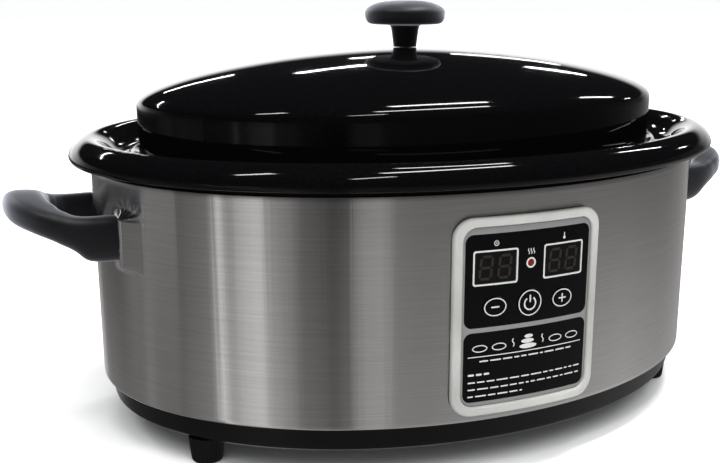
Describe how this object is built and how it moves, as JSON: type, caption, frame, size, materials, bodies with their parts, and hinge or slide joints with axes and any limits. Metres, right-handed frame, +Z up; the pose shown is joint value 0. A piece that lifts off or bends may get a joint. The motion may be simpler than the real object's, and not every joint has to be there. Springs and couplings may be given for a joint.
{
  "type": "hot stone heater",
  "caption": "Oval electric hot stone heater: brushed steel housing with a digital panel, lift-out enamel pan, domed lid with a knob, loop handles and feet.",
  "frame": {"origin": "on the resting surface, under the middle of the housing", "axes": "+X along the long axis, through the handles; the control panel faces -Y; +Z up"},
  "size_m": [0.4604, 0.2994, 0.2328],
  "materials": {
    "brushed_steel": "brushed around the body, satin",
    "black_enamel": "deep gloss vitreous enamel",
    "black_phenolic": "satin moulded",
    "black_plastic": "satin moulded",
    "aluminium_sheet": "pressed, mill finish",
    "heater_silicone": "matte",
    "glass_wool": "matted fibre",
    "zinc_steel": "zinc plated",
    "foot_rubber": "matte",
    "bezel_plastic": "fine satin",
    "overlay_film": "printed polyester film",
    "display_lens": "smoked, clear gloss",
    "red_lens": "clear gloss",
    "board_green": "solder mask",
    "relay_blue": "moulded",
    "ceramic_white": "unglazed",
    "lead_red": "extruded",
    "lead_grey": "extruded"
  },
  "bodies": {
    "housing": {"outer_shell": "brushed_steel", "handle_left": "black_phenolic", "handle_right": "black_phenolic", "top_collar": "black_plastic", "base_pan": "black_plastic", "control_box": "black_plastic", "tact_switch_minus": "black_plastic", "tact_switch_power": "black_plastic", "tact_switch_plus": "black_plastic", "mains_inlet": "black_plastic", "liner_well": "aluminium_sheet", "heat_reflector": "aluminium_sheet", "heater_band": "heater_silicone", "insulation_jacket": "glass_wool", "centre_bolt": "zinc_steel", "centre_nut": "zinc_steel", "temperature_probe": "zinc_steel", "inlet_screw_left": "zinc_steel", "inlet_screw_right": "zinc_steel", "foot_screw_1": "zinc_steel", "foot_screw_2": "zinc_steel", "foot_screw_3": "zinc_steel", "foot_screw_4": "zinc_steel", "handle_plate_left_front": "zinc_steel", "handle_plate_left_rear": "zinc_steel", "handle_plate_right_front": "zinc_steel", "handle_plate_right_rear": "zinc_steel", "handle_screw_left_front": "zinc_steel", "handle_screw_left_rear": "zinc_steel", "handle_screw_right_front": "zinc_steel", "handle_screw_right_rear": "zinc_steel", "foot_1": "foot_rubber", "foot_2": "foot_rubber", "foot_3": "foot_rubber", "foot_4": "foot_rubber", "panel_bezel": "bezel_plastic", "panel_overlay": "overlay_film", "display_left": "display_lens", "display_right": "display_lens", "heat_led": "red_lens", "control_board": "board_green", "power_board": "board_green", "relay": "relay_blue", "terminal_block": "ceramic_white", "thermal_cutout": "ceramic_white", "heater_lead_live": "lead_red", "heater_lead_neutral": "lead_red", "probe_lead": "lead_grey", "ribbon_cable": "lead_grey"},
    "pan": {"stone_pan": "black_enamel"},
    "lid": {"lid": "black_enamel", "lid_knob": "black_phenolic", "knob_washer": "zinc_steel", "knob_screw": "zinc_steel"},
    "key_minus": {"key_minus": "overlay_film"},
    "key_power": {"key_power": "overlay_film"},
    "key_plus": {"key_plus": "overlay_film"}
  },
  "joints": [
    {"name": "pan_lift", "type": "slide", "parent": "housing", "child": "pan", "axis": [0, 0, 1], "range_m": [0, 0.16]},
    {"name": "lid_lift", "type": "slide", "parent": "pan", "child": "lid", "axis": [0, 0, 1], "range_m": [0, 0.12]},
    {"name": "key_minus_press", "type": "slide", "parent": "housing", "child": "key_minus", "axis": [0, 1, 0], "range_m": [0, 0.0005], "stiffness_N_per_m": 600},
    {"name": "key_power_press", "type": "slide", "parent": "housing", "child": "key_power", "axis": [0, 1, 0], "range_m": [0, 0.0005], "stiffness_N_per_m": 600},
    {"name": "key_plus_press", "type": "slide", "parent": "housing", "child": "key_plus", "axis": [0, 1, 0], "range_m": [0, 0.0005], "stiffness_N_per_m": 600}
  ]
}
